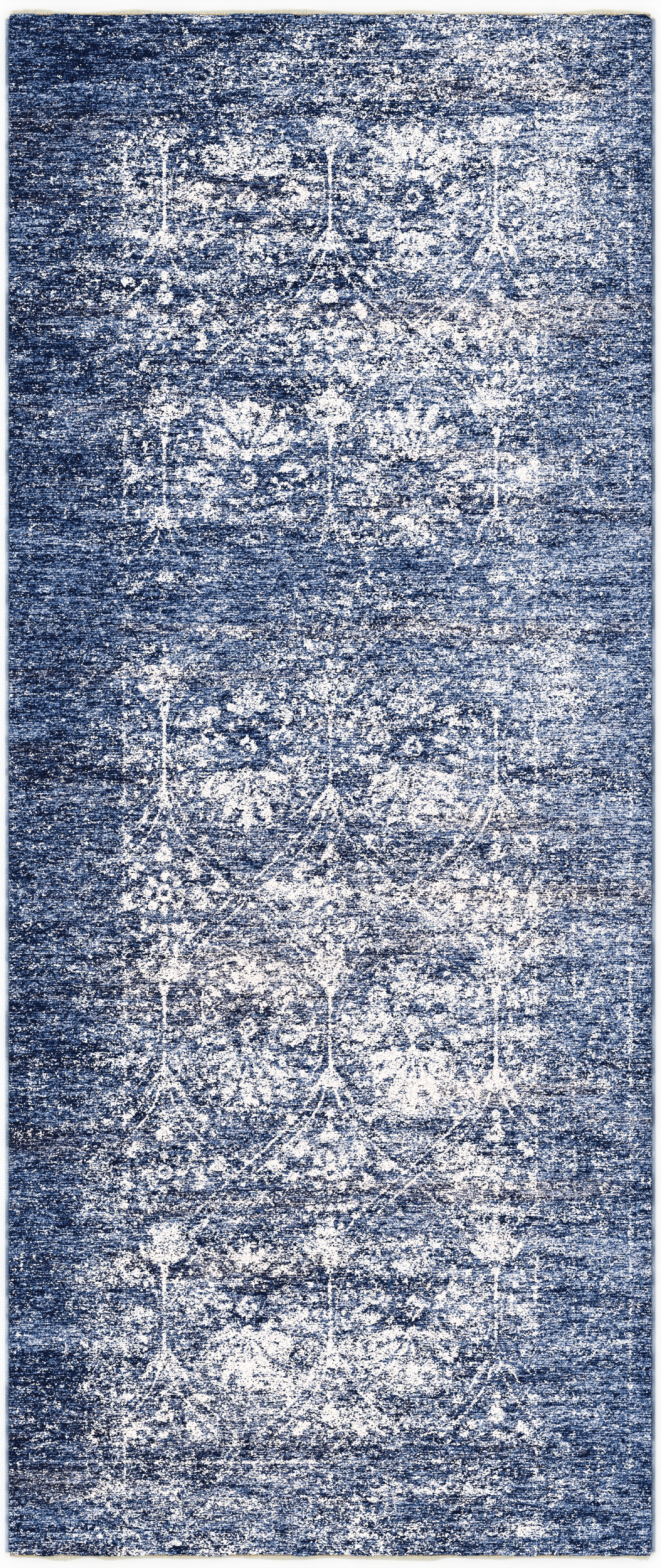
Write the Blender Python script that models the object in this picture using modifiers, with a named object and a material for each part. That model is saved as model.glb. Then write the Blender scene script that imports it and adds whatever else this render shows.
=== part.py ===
"""Runner rug: cut pile on a woven foundation, serged along both sides, with short warp-end fringes.

Metres, +Z up. X runs across the width and Y along the length, from the near end to the far end.
The origin is the centre of the underside, on the floor.
"""

import math

import bmesh
import bpy

# Driving dimensions.
RUG_WIDTH = 0.800
RUG_LENGTH = 1.904
RUG_THICKNESS = 0.010
LAYER_GAP = 0.0003

# Layers, from the floor up. The pile takes what is left of the thickness.
BACK_COAT_THICKNESS = 0.0008
FOUNDATION_THICKNESS = 0.0016

# Serged sides.
SERGING_WIDTH = 0.0056
SERGING_HEIGHT = 0.0050
SERGING_YARN = 0.0008
SERGING_END_SETBACK = 0.0035
SERGING_ARC_POINTS = 19
CORD_RADIUS = 0.0011

# Ends: the pile stops at the lock stitch, and the fringe starts outside it.
FRINGE_REACH = 0.0024
FRINGE_ROOT = 0.0006
FRINGE_THICKNESS = 0.0010
FRINGE_BUNDLE_PITCH = 0.005
FRINGE_ROOT_SHARE = 0.64
FRINGE_TIP_SHARE = 0.34
STITCH_RADIUS = 0.00035
STITCH_ZIGZAG = 0.00015
STITCH_PITCH = 0.008

# Roundings.
PILE_CORNER_RADIUS = 0.006
PILE_TOP_ROUNDING = 0.0015
CORNER_RADIUS = 0.003
CORNER_SEGMENTS = 4

# Levels worked out from the layers.
BACK_COAT_TOP = BACK_COAT_THICKNESS
FOUNDATION_BOTTOM = BACK_COAT_TOP + LAYER_GAP
FOUNDATION_TOP = FOUNDATION_BOTTOM + FOUNDATION_THICKNESS
PILE_BOTTOM = FOUNDATION_TOP + LAYER_GAP

# Places across the width.
HALF_WIDTH = RUG_WIDTH / 2
SERGING_CENTRE_X = HALF_WIDTH - SERGING_WIDTH / 2
FIELD_HALF_WIDTH = HALF_WIDTH - SERGING_WIDTH - LAYER_GAP
CORD_CENTRE_X = HALF_WIDTH - SERGING_YARN - LAYER_GAP - CORD_RADIUS
FOUNDATION_HALF_WIDTH = CORD_CENTRE_X - CORD_RADIUS - LAYER_GAP

# Places along the length, from the fringe tips inwards.
HALF_LENGTH = RUG_LENGTH / 2
FRINGE_START_Y = HALF_LENGTH - FRINGE_REACH
FOUNDATION_HALF_LENGTH = FRINGE_START_Y - LAYER_GAP
STITCH_Y = FOUNDATION_HALF_LENGTH - STITCH_RADIUS - STITCH_ZIGZAG
PILE_HALF_LENGTH = STITCH_Y - STITCH_RADIUS - STITCH_ZIGZAG - LAYER_GAP
SERGING_HALF_LENGTH = PILE_HALF_LENGTH - SERGING_END_SETBACK

# Base colours, linear.
PILE_BLUE = (0.075, 0.120, 0.235)
SERGING_BLUE = (0.290, 0.380, 0.580)
UNDYED_COTTON = (0.780, 0.690, 0.500)
WOVEN_JUTE = (0.560, 0.450, 0.300)
LATEX_BEIGE = (0.680, 0.610, 0.470)
STITCH_BROWN = (0.330, 0.190, 0.080)

LEFT, RIGHT = -1, 1
NEAR, FAR = -1, 1


def clear_scene():
    for obj in list(bpy.data.objects):
        bpy.data.objects.remove(obj, do_unlink=True)


def new_collection(name):
    collection = bpy.data.collections.new(name)
    bpy.context.scene.collection.children.link(collection)
    return collection


def new_material(name, colour, roughness):
    material = bpy.data.materials.new(name)
    material.use_nodes = True
    shader = material.node_tree.nodes["Principled BSDF"]
    shader.inputs["Base Color"].default_value = (*colour, 1.0)
    shader.inputs["Roughness"].default_value = roughness
    shader.inputs["Metallic"].default_value = 0.0
    return material


def add_mesh(name, mesh_in_edit, material, collection):
    mesh = bpy.data.meshes.new(name)
    mesh_in_edit.to_mesh(mesh)
    mesh_in_edit.free()
    mesh.materials.append(material)
    obj = bpy.data.objects.new(name, mesh)
    collection.objects.link(obj)
    return obj


def upright_edges(mesh_in_edit):
    return [
        edge
        for edge in mesh_in_edit.edges
        if abs(edge.verts[0].co.z - edge.verts[1].co.z) > LAYER_GAP
    ]


def top_rim(mesh_in_edit, top):
    """The edges between the top face and the sides."""
    rim = []
    for edge in mesh_in_edit.edges:
        if min(vert.co.z for vert in edge.verts) < top - LAYER_GAP / 2:
            continue
        if any(abs(face.normal.z) < 0.5 for face in edge.link_faces):
            rim.append(edge)
    return rim


def round_edges(mesh_in_edit, edges, radius, segments):
    bmesh.ops.bevel(
        mesh_in_edit,
        geom=edges,
        offset=radius,
        segments=segments,
        profile=0.5,
        affect="EDGES",
    )


def add_layer(name, half_width, half_length, bottom, top, corner_radius, top_rounding, material, collection):
    """A flat rectangular layer with rounded corners and, where asked, a rounded top rim."""
    layer = bmesh.new()
    bmesh.ops.create_cube(layer, size=1.0)
    bmesh.ops.scale(layer, verts=layer.verts, vec=(2 * half_width, 2 * half_length, top - bottom))
    bmesh.ops.translate(layer, verts=layer.verts, vec=(0.0, 0.0, (top + bottom) / 2))
    round_edges(layer, upright_edges(layer), corner_radius, CORNER_SEGMENTS)
    if top_rounding:
        layer.normal_update()
        round_edges(layer, top_rim(layer, top), top_rounding, 2)
    return add_mesh(name, layer, material, collection)


def add_back_coat(collection):
    material = new_material("latex_back", LATEX_BEIGE, 0.75)
    return add_layer(
        "latex_back_coat",
        FIELD_HALF_WIDTH,
        FOUNDATION_HALF_LENGTH,
        0.0,
        BACK_COAT_TOP,
        CORNER_RADIUS,
        0.0,
        material,
        collection,
    )


def add_foundation(collection):
    material = new_material("woven_jute_cotton", WOVEN_JUTE, 0.95)
    return add_layer(
        "woven_foundation",
        FOUNDATION_HALF_WIDTH,
        FOUNDATION_HALF_LENGTH,
        FOUNDATION_BOTTOM,
        FOUNDATION_TOP,
        CORNER_RADIUS,
        0.0,
        material,
        collection,
    )


def add_pile(collection):
    material = new_material("blue_pile", PILE_BLUE, 0.9)
    return add_layer(
        "pile_field",
        FIELD_HALF_WIDTH,
        PILE_HALF_LENGTH,
        PILE_BOTTOM,
        RUG_THICKNESS,
        PILE_CORNER_RADIUS,
        PILE_TOP_ROUNDING,
        material,
        collection,
    )


def serging_profile(side):
    """The open loop that the overcast yarn makes round the rug's edge, as (x, z) on its centre line.

    It starts on the foundation, goes over the cord and round the outside, and ends flat underneath.
    """
    half_width = (SERGING_WIDTH - SERGING_YARN) / 2
    half_height = (SERGING_HEIGHT - SERGING_YARN) / 2
    centre_z = SERGING_HEIGHT / 2
    lip_z = FOUNDATION_TOP + LAYER_GAP + SERGING_YARN / 2
    start = math.pi - math.asin((lip_z - centre_z) / half_height)
    end = -math.pi / 2
    points = []
    for step in range(SERGING_ARC_POINTS):
        angle = start + (end - start) * step / (SERGING_ARC_POINTS - 1)
        x = SERGING_CENTRE_X + half_width * math.cos(angle)
        z = centre_z + half_height * math.sin(angle)
        points.append((side * x, z))
    points.append((side * (SERGING_CENTRE_X - half_width), SERGING_YARN / 2))
    return points


def add_serging(name, side, material, collection):
    """The overcast yarn as one sleeve: the loop drawn along the side, then given the yarn's thickness."""
    sleeve = bmesh.new()
    ring = [
        sleeve.verts.new((x, -SERGING_HALF_LENGTH, z))
        for x, z in serging_profile(side)
    ]
    edges = [sleeve.edges.new(pair) for pair in zip(ring, ring[1:])]
    drawn = bmesh.ops.extrude_edge_only(sleeve, edges=edges)
    moved = [item for item in drawn["geom"] if isinstance(item, bmesh.types.BMVert)]
    bmesh.ops.translate(sleeve, verts=moved, vec=(0.0, 2 * SERGING_HALF_LENGTH, 0.0))
    bmesh.ops.recalc_face_normals(sleeve, faces=sleeve.faces)
    obj = add_mesh(name, sleeve, material, collection)
    wall = obj.modifiers.new("yarn_thickness", "SOLIDIFY")
    wall.thickness = SERGING_YARN
    wall.offset = 0.0
    wall.use_even_offset = True
    return obj


def add_rope(name, points, radius, ring_resolution, material, collection):
    """A round rope along the points, closed at both ends."""
    curve = bpy.data.curves.new(name, "CURVE")
    curve.dimensions = "3D"
    curve.bevel_depth = radius
    curve.bevel_resolution = ring_resolution
    curve.use_fill_caps = True
    spline = curve.splines.new("POLY")
    spline.points.add(len(points) - 1)
    for slot, point in zip(spline.points, points):
        slot.co = (*point, 1.0)
    curve.materials.append(material)
    obj = bpy.data.objects.new(name, curve)
    collection.objects.link(obj)
    return obj


def add_selvedge_cord(name, side, material, collection):
    height = SERGING_HEIGHT / 2
    ends = [
        (side * CORD_CENTRE_X, end * SERGING_HALF_LENGTH, height)
        for end in (NEAR, FAR)
    ]
    return add_rope(name, ends, CORD_RADIUS, 2, material, collection)


def add_lock_stitch(name, end, material, collection):
    """The thread along the last weft, which steps in and out at each stitch."""
    reach = FIELD_HALF_WIDTH - CORNER_RADIUS
    count = 2 * round(2 * reach / STITCH_PITCH)
    height = PILE_BOTTOM + STITCH_RADIUS
    points = []
    for step in range(count + 1):
        x = -reach + 2 * reach * step / count
        swing = STITCH_ZIGZAG if step % 2 else -STITCH_ZIGZAG
        points.append((x, end * (STITCH_Y + swing), height))
    return add_rope(name, points, STITCH_RADIUS, 1, material, collection)


def fringe_outline(end):
    """The plan of one fringe: a thin root with a tapered bundle of warp ends at each pitch."""
    reach = FIELD_HALF_WIDTH - CORNER_RADIUS
    bundles = round(2 * reach / FRINGE_BUNDLE_PITCH)
    pitch = 2 * reach / bundles
    root_half = pitch * FRINGE_ROOT_SHARE / 2
    tip_half = pitch * FRINGE_TIP_SHARE / 2
    root_y = end * (FRINGE_START_Y + FRINGE_ROOT)
    tip_y = end * HALF_LENGTH
    outline = [(reach, end * FRINGE_START_Y), (-reach, end * FRINGE_START_Y)]
    outline.append((-reach, root_y))
    for bundle in range(bundles):
        middle = -reach + pitch * (bundle + 0.5)
        outline.append((middle - root_half, root_y))
        outline.append((middle - tip_half, tip_y))
        outline.append((middle + tip_half, tip_y))
        outline.append((middle + root_half, root_y))
    outline.append((reach, root_y))
    return outline


def add_fringe(name, end, material, collection):
    """The warp ends, cut short, level with the foundation that they come out of."""
    bottom = (FOUNDATION_BOTTOM + FOUNDATION_TOP - FRINGE_THICKNESS) / 2
    fringe = bmesh.new()
    rim = [fringe.verts.new((x, y, bottom)) for x, y in fringe_outline(end)]
    plan = fringe.faces.new(rim)
    raised = bmesh.ops.extrude_face_region(fringe, geom=[plan])
    moved = [item for item in raised["geom"] if isinstance(item, bmesh.types.BMVert)]
    bmesh.ops.translate(fringe, verts=moved, vec=(0.0, 0.0, FRINGE_THICKNESS))
    bmesh.ops.recalc_face_normals(fringe, faces=fringe.faces)
    return add_mesh(name, fringe, material, collection)


def build():
    clear_scene()
    collection = new_collection("runner_rug")
    add_back_coat(collection)
    add_foundation(collection)
    add_pile(collection)
    cotton = new_material("undyed_cotton", UNDYED_COTTON, 0.95)
    for side_name, side in (("left", LEFT), ("right", RIGHT)):
        yarn = new_material(f"{side_name}_serging_yarn", SERGING_BLUE, 0.7)
        add_selvedge_cord(f"{side_name}_selvedge_cord", side, cotton, collection)
        add_serging(f"{side_name}_serging", side, yarn, collection)
    thread = new_material("stitch_thread", STITCH_BROWN, 0.85)
    for end_name, end in (("near", NEAR), ("far", FAR)):
        add_lock_stitch(f"{end_name}_lock_stitch", end, thread, collection)
        add_fringe(f"{end_name}_warp_fringe", end, cotton, collection)


build()
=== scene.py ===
"""The looks of a worn blue and ivory runner rug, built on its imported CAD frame.

Every piece is a mesh made here from the frame's boxes, and every colour comes from shader nodes.
The ornament is a generic one of this script's own: an ogive lattice with fans, rosettes and leaves.
"""

import math

import bpy
import numpy as np
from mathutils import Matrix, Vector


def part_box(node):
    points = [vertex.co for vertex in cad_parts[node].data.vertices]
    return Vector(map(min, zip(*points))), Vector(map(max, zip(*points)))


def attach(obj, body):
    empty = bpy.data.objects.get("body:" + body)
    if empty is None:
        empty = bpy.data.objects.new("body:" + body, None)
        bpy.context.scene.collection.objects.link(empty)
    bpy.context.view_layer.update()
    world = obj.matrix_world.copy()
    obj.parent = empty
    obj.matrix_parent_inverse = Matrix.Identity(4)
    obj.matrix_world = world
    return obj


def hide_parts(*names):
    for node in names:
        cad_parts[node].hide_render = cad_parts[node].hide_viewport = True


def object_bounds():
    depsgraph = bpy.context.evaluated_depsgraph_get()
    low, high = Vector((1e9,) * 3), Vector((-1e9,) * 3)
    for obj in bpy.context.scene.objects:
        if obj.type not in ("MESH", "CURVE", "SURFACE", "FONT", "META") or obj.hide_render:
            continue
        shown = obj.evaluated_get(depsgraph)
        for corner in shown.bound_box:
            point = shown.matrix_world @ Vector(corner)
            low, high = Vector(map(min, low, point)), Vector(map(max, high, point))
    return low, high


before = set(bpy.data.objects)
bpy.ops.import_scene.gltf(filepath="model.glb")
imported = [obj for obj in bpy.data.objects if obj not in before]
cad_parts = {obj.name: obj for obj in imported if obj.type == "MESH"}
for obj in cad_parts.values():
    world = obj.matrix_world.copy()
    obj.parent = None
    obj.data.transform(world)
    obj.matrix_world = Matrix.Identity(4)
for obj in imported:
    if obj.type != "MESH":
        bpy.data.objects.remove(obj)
CAD_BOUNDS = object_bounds()

MM = 0.001
SEED = 20
RIGHT = 1
LEFT = -1
FAR = 1
NEAR = -1

# The woven design, in metres from the rug's middle.
OGIVE = 0.102                # half the width of one ogive of the lattice
ROW_PITCH = 0.344            # from one row of large medallions to the next
ROW_START = 0.039            # the middle row of large medallions
FIRST_FAR_ROW = 1            # from this row on, the fans point to the far end
BAND_HALF = 0.0060           # half the width of a lattice band
OUTLINE = 0.0026             # width of a band's ivory outline
BEAD_PITCH = 0.0086          # along the rug, between the beads on a band
BEAD_RADIUS = 0.0019
FIELD_HALF_WIDTH = 0.253
FIELD_FAR_END = 0.822
FIELD_NEAR_END = -0.802
SOFT_EDGE = 0.0016           # how soft a motif's outline is
PILE_CORNER = 0.0030         # radius of the pile's corners

# How strongly the design shows, from 0 to 1.
OUTLINE_STRENGTH = 0.92      # the lattice's ivory outlines
BAND_DARKNESS = 0.60         # the dark ground inside its bands
DESIGN_SHARE = 0.62          # ivory yarn in an unworn motif
IVORY_FROM = 0.50            # the share of ivory from which a place looks ivory


# ---------------------------------------------------------------- small helpers


def blend(low, high, share):
    return low + (high - low) * share


def smoothstep(share):
    share = np.clip(share, 0.0, 1.0)
    return share * share * (3.0 - 2.0 * share)


def hump(values, middle, reach):
    """1 at the middle, about a third at the reach to either side, and 0 well beyond it."""
    return np.exp(-(((values - middle) / reach) ** 2))


def soft(distance, edge=SOFT_EDGE):
    """1 inside an outline and 0 outside it, from a distance that is negative inside."""
    return np.clip(0.5 - distance / edge, 0.0, 1.0)


def circle(sides):
    """Cosines and sines of evenly spaced directions."""
    around = 2 * np.pi * np.arange(sides) / sides
    return np.cos(around), np.sin(around)


def points_at(x, y, z):
    """Points from three arrays of coordinates, whose shapes fit one another."""
    return np.stack(np.broadcast_arrays(x, y, z), axis=-1)


def run_noise(places, cell, rng):
    """Smooth noise of about unit spread along a line."""
    steps = (places - places.min()) / cell
    index = steps.astype(int)
    lattice = rng.standard_normal(index.max() + 2)
    return 1.35 * blend(lattice[index], lattice[index + 1], smoothstep(steps - index))


class Cloth:
    """A grid of points over the pile, on which the design is drawn."""

    def __init__(self, xs, ys):
        self.xs = xs
        self.ys = ys
        self.x = xs[None, :]
        self.y = ys[:, None]
        self.shape = (len(ys), len(xs))

    def noise(self, cell_x, cell_y, rng):
        """Smooth noise of about unit spread, whose lumps are about cell_x wide and cell_y long."""
        across = (self.xs - self.xs[0]) / cell_x
        along = (self.ys - self.ys[0]) / cell_y
        column = across.astype(int)
        row = along.astype(int)
        lattice = rng.standard_normal((row[-1] + 2, column[-1] + 2))
        rows = blend(lattice[:, column], lattice[:, column + 1], smoothstep(across - column))
        return 1.45 * blend(rows[row], rows[row + 1], smoothstep(along - row)[:, None])

    def stamp(self, layer, motif, centre, reach, way=FAR, strength=1.0):
        """Draws one motif into the layer, keeping whichever is stronger."""
        x0, x1 = np.searchsorted(self.xs, (centre[0] - reach, centre[0] + reach))
        y0, y1 = np.searchsorted(self.ys, (centre[1] - reach, centre[1] + reach))
        if x0 == x1 or y0 == y1:
            return
        u = self.xs[None, x0:x1] - centre[0]
        v = (self.ys[y0:y1, None] - centre[1]) * way
        u, v = np.broadcast_arrays(u, v)
        part = layer[y0:y1, x0:x1]
        np.maximum(part, motif(u, v) * strength, out=part)

    def sample(self, layer, x, y):
        """The layer's values at the grid points nearest to some places."""
        column = np.rint((x - self.xs[0]) / (self.xs[1] - self.xs[0])).astype(int)
        row = np.rint((y - self.ys[0]) / (self.ys[1] - self.ys[0])).astype(int)
        return layer[np.clip(row, 0, len(self.ys) - 1), np.clip(column, 0, len(self.xs) - 1)]


# ---------------------------------------------------------------- motifs


def turned(u, v, degrees):
    """The same points as seen by a motif that is turned clockwise."""
    angle = math.radians(degrees)
    across = u * math.cos(angle) - v * math.sin(angle)
    along = u * math.sin(angle) + v * math.cos(angle)
    return across, along


def layered(*shapes):
    return np.maximum.reduce(shapes)


def disc(u, v, radius):
    return soft(np.hypot(u, v) - radius)


def ring(u, v, radius, width):
    return soft(np.abs(np.hypot(u, v) - radius) - width / 2)


def diamond(u, v, half_width, half_length):
    return soft((np.abs(u) / half_width + np.abs(v) / half_length - 1.0) * half_width)


def leaf(u, v, length, width, degrees=0.0, start=0.0):
    """A leaf that begins at a distance from the middle and is widest past its half."""
    across, along = turned(u, v, degrees)
    share = (along - start) / length
    half = width / 2 * np.sin(np.pi * np.clip(share, 0.0, 1.0) ** 1.25)
    beyond = np.maximum(-share, share - 1.0) * length
    return soft(np.maximum(np.abs(across) - half, beyond))


def fan(u, v, size, petals, spread, width):
    """Petals that spread from one seat, the middle one longest."""
    leaves = [disc(u, v, size * 0.10)]
    for angle in np.linspace(-spread, spread, petals):
        reach = size * (1.0 - 0.30 * abs(angle / spread) ** 1.5)
        leaves.append(leaf(u, v, reach, size * width, angle, size * 0.08))
    return layered(*leaves)


def rosette(u, v, size, petals=8):
    leaves = [ring(u, v, size * 0.24, size * 0.18)]
    for turn in range(petals):
        leaves.append(leaf(u, v, size * 0.56, size * 0.34, 360.0 * turn / petals, size * 0.42))
    return layered(*leaves)


def wreath(u, v, radius, count, length, width, tilt):
    """Leaves in a ring, leaning to either side in turn."""
    leaves = []
    for step in range(count):
        across, along = turned(u, v, 360.0 * (step + 0.5) / count)
        leaves.append(leaf(across, along - radius, length, width, tilt if step % 2 else -tilt))
    return layered(*leaves)


def bud(u, v, size):
    shell = diamond(u, v, size * 0.9, size * 1.15) - diamond(u, v, size * 0.45, size * 0.6)
    return layered(shell, disc(u, v, size * 0.2))


def large_motif(u, v):
    """What fills a large medallion: a fan, a roundel with a bud, and leaves all round."""
    a = OGIVE
    shapes = [
        0.98 * fan(u, v - 0.22 * a, 0.70 * a, petals=7, spread=78.0, width=0.19),
        0.8 * bud(u, v + 0.06 * a, 0.15 * a),
        0.8 * wreath(u, v + 0.06 * a, 0.27 * a, 14, 0.12 * a, 0.08 * a, 20.0),
        0.9 * wreath(u, v, 0.52 * a, 16, 0.26 * a, 0.09 * a, 32.0),
        wreath(u, v, 0.78 * a, 30, 0.10 * a, 0.08 * a, 0.0),
        0.7 * ring(u, v, 0.93 * a, 0.025 * a),
        fan(u, -v - 0.46 * a, 0.40 * a, petals=5, spread=64.0, width=0.25),
        0.15 * ring(u, v, 0.66 * a, 0.34 * a),
    ]
    for side in (LEFT, RIGHT):
        shapes.append(0.8 * ring(u - side * 0.45 * a, v + 0.20 * a, 0.08 * a, 0.05 * a))
        shapes.append(leaf(u - side * 0.36 * a, v - 0.02 * a, 0.28 * a, 0.11 * a, side * 64.0))
        shapes.append(leaf(u - side * 0.28 * a, v + 0.44 * a, 0.26 * a, 0.11 * a, side * 118.0))
    return layered(*shapes)


def large_roundel(u, v):
    """The plain dark ground round the bud, and the dark line under the fan."""
    a = OGIVE
    ground = soft(np.hypot(u, v + 0.08 * a) - 0.25 * a, 0.005)
    line = soft(np.maximum(np.abs(u) - 0.32 * a, np.abs(v - 0.22 * a) - 0.02 * a), 0.003)
    return layered(ground, line)


def small_motif(u, v):
    """What fills a small medallion: an arch, a rosette and a goblet on one stem, and leaves."""
    a = OGIVE
    shapes = [
        rosette(u, v, 0.28 * a),
        wreath(u, v, 0.37 * a, 14, 0.18 * a, 0.11 * a, 30.0),
        fan(u, v + 1.18 * a, 0.62 * a, petals=7, spread=42.0, width=0.21),
        fan(u, v - 0.98 * a, 0.24 * a, petals=3, spread=40.0, width=0.36),
    ]
    for side in (LEFT, RIGHT):
        shapes.append(leaf(u, v - 1.32 * a, 0.58 * a, 0.09 * a, 180.0 - side * 30.0))
        shapes.append(leaf(u - side * 0.30 * a, v - 0.52 * a, 0.30 * a, 0.14 * a, side * 50.0))
        shapes.append(leaf(u - side * 0.22 * a, v + 0.50 * a, 0.34 * a, 0.14 * a, side * 108.0))
        shapes.append(leaf(u - side * 0.52 * a, v - 0.06 * a, 0.28 * a, 0.14 * a, side * 80.0))
    for place in (0.42, 0.56, 0.70):
        shapes.append(disc(u, v - place * a, 0.05 * a))
        shapes.append(disc(u, v + place * a, 0.05 * a))
    return layered(*shapes)


# ---------------------------------------------------------------- the woven design


def swing(along):
    """How far a lattice band stands out at this length, from -1 to 1, flat where two meet."""
    wave = 1.25 * np.cos(np.pi * (along - ROW_START) / ROW_PITCH)
    return wave / (1.0 + np.abs(wave) ** 6) ** (1 / 6) / 0.96


def lattice(cloth):
    """The ogive lattice: (ivory outlines, dark bands)."""
    offset = np.mod(cloth.xs, 2 * OGIVE) - OGIVE
    reach = (OGIVE - BAND_HALF - OUTLINE / 2) * swing(cloth.ys)
    lean = 1.0 / np.sqrt(1.0 + np.gradient(reach, cloth.ys) ** 2)
    upright_from = 0.72
    upright = smoothstep((np.abs(swing(cloth.ys)) - upright_from) / 0.22)[:, None]
    inner = np.abs(offset)[None, :] < np.abs(reach)[:, None]
    outlines = np.zeros(cloth.shape)
    bands = np.zeros(cloth.shape)
    for side in (RIGHT, LEFT):
        distance = np.abs(offset - side * reach[:, None]) * lean[:, None]
        core = soft(distance - BAND_HALF)
        edge = soft(np.abs(distance - BAND_HALF - OUTLINE / 2) - OUTLINE / 2)
        edge = edge * (1.0 + upright * (0.5 - 1.3 * inner))
        step = (np.mod(cloth.ys, BEAD_PITCH) - BEAD_PITCH / 2) / lean
        beads = soft(np.hypot(distance, step[:, None]) - BEAD_RADIUS) * (1.0 - upright)
        outlines = np.maximum(outlines * (1.0 - core), np.maximum(edge, 0.8 * beads))
        bands = np.maximum(bands, core * (1.0 - 0.85 * upright))
    return outlines, bands


def field_design(cloth):
    """(ivory motifs, dark ground) of the field, before wear."""
    outlines, bands = lattice(cloth)
    motifs = np.zeros(cloth.shape)
    roundels = np.zeros(cloth.shape)
    for row in range(-3, 4):
        middle = ROW_START + row * ROW_PITCH
        way = FAR if row >= FIRST_FAR_ROW else NEAR
        for column in (-3, -1, 1, 3):
            cloth.stamp(motifs, large_motif, (column * OGIVE, middle), 1.05 * OGIVE, way)
            cloth.stamp(roundels, large_roundel, (column * OGIVE, middle), OGIVE, way)
        between = middle + ROW_PITCH / 2
        for column in (-2, 0, 2):
            cloth.stamp(motifs, small_motif, (column * OGIVE, between), 1.45 * OGIVE)
    motifs *= 1.0 - bands
    ivory = np.maximum(OUTLINE_STRENGTH * outlines, motifs)
    return ivory, np.maximum(BAND_DARKNESS * bands, roundels * (1.0 - motifs))


def border_design(cloth):
    """The worn borders: guard lines, and small rosettes between them."""
    out = np.zeros(cloth.shape)
    away = np.abs(cloth.x)
    side_guards = ((FIELD_HALF_WIDTH, 0.0036, 0.85), (0.300, 0.0030, 0.45), (0.369, 0.0040, 0.85))
    for place, width, strength in side_guards:
        np.maximum(out, strength * soft(np.abs(away - place) - width / 2), out=out)
    within = soft(away - 0.30, 0.04)
    end_guards = ((0.934, 0.40), (0.891, 0.52), (0.845, 0.42), (0.822, 0.40))
    half_width = 0.002
    near_shift = 0.012
    for place, strength in end_guards:
        far = soft(np.abs(cloth.y - place) - half_width)
        near = soft(np.abs(cloth.y + place - near_shift) - half_width)
        np.maximum(out, strength * np.maximum(far, near) * within, out=out)
    for step in range(-11, 12):
        place = step * ROW_PITCH / 4
        for side in (LEFT, RIGHT):
            cloth.stamp(out, side_rosette, (side * 0.335, place), 0.04, FAR, 0.45)
            cloth.stamp(out, side_leaf, (side * 0.315, place + 0.02), 0.06, FAR, 0.40)
    for step in range(-4, 5):
        place = step * OGIVE * 2 / 3
        for end in (NEAR, FAR):
            cloth.stamp(out, end_rosette, (place, end * 0.868), 0.03, FAR, 0.8)
            cloth.stamp(out, end_fan, (place + OGIVE / 3, end * 0.905), 0.03, end, 0.7)
    return out


def side_rosette(u, v):
    return rosette(u, v, 0.032)


def side_leaf(u, v):
    return leaf(u, v, 0.050, 0.014, 35.0)


def end_rosette(u, v):
    return rosette(u, v, 0.022)


def end_fan(u, v):
    return fan(u, v, 0.020, petals=5, spread=60.0, width=0.30)


def inside_field(cloth):
    middle = (FIELD_FAR_END + FIELD_NEAR_END) / 2
    half_length = (FIELD_FAR_END - FIELD_NEAR_END) / 2
    across = soft(np.abs(cloth.x) - FIELD_HALF_WIDTH, 0.003)
    return across * soft(np.abs(cloth.y - middle) - half_length, 0.003)


def patch(cloth, x, y, reach_x, reach_y):
    """A soft spot in the cloth at a place."""
    return hump(cloth.x, x, reach_x) * hump(cloth.y, y, reach_y)


def wear(cloth, rng):
    """How much of the woven ivory still shows, from 0 to a little over 1."""
    x = cloth.x
    y = cloth.y
    kept = 0.90 + 0.13 * cloth.noise(0.16, 0.06, rng) + 0.13 * cloth.noise(0.03, 0.012, rng)
    kept = kept + 0.12 * patch(cloth, 0.02, 0.56, 0.13, 0.07) + 0.06 * hump(y, -0.60, 0.18)
    worn_band = 0.36 * hump(y, 0.24, 0.11)
    worn_left = 0.80 * smoothstep((-x - 0.24) / 0.10)
    worn_right = 0.40 * smoothstep((x - 0.27) / 0.14)
    worn_far_left = 0.60 * hump(x, -0.25, 0.15) * smoothstep((y - 0.78) / 0.05)
    worn_near_end = 0.25 * smoothstep((-y - 0.82) / 0.04)
    kept = kept - worn_band - worn_left - worn_right - worn_far_left - worn_near_end
    return np.clip(kept, 0.0, 1.15)


def fleck_share(cloth, rng):
    """How thickly loose ivory flecks lie outside the motifs."""
    x = cloth.x
    y = cloth.y
    share = 0.125 + 0.13 * soft(np.abs(x) - 0.29, 0.06) + 0.06 * smoothstep((x + 0.1) / 0.3)
    pale_bands = (
        0.16 * patch(cloth, 0.05, 0.54, 0.16, 0.045)
        + 0.14 * patch(cloth, 0.0, -0.155, 0.30, 0.05)
        + 0.08 * patch(cloth, 0.05, -0.385, 0.28, 0.05)
        + 0.18 * patch(cloth, -0.07, -0.73, 0.22, 0.06)
        + 0.05 * smoothstep((-y - 0.82) / 0.03)
    )
    right_guard = 0.36 * hump(x, 0.285, 0.035) * (hump(y, 0.13, 0.07) + 0.5 * hump(y, 0.76, 0.13))
    left_guard = 0.22 * hump(x, -0.275, 0.035) * (hump(y, -0.60, 0.22) + 0.4 * hump(y, 0.64, 0.10))
    plain_band = 0.06 * hump(y, 0.25, 0.11)
    plain_columns = 0.06 * hump(np.abs(x), 0.20, 0.08) * hump(y, 0.15, 0.40)
    plain_far_left = 0.16 * hump(x, -0.25, 0.14) * smoothstep((y - 0.74) / 0.08)
    plain_near_right = 0.12 * smoothstep((-y - 0.62) / 0.12) * smoothstep((x - 0.08) / 0.10)
    share = share + pale_bands + right_guard + left_guard
    share = share - plain_band - plain_columns - plain_far_left - plain_near_right
    share = share + 0.07 * cloth.noise(0.07, 0.016, rng) * soft(np.abs(x) - 0.32, 0.10)
    return np.clip(share, 0.0, 0.6)


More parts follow.
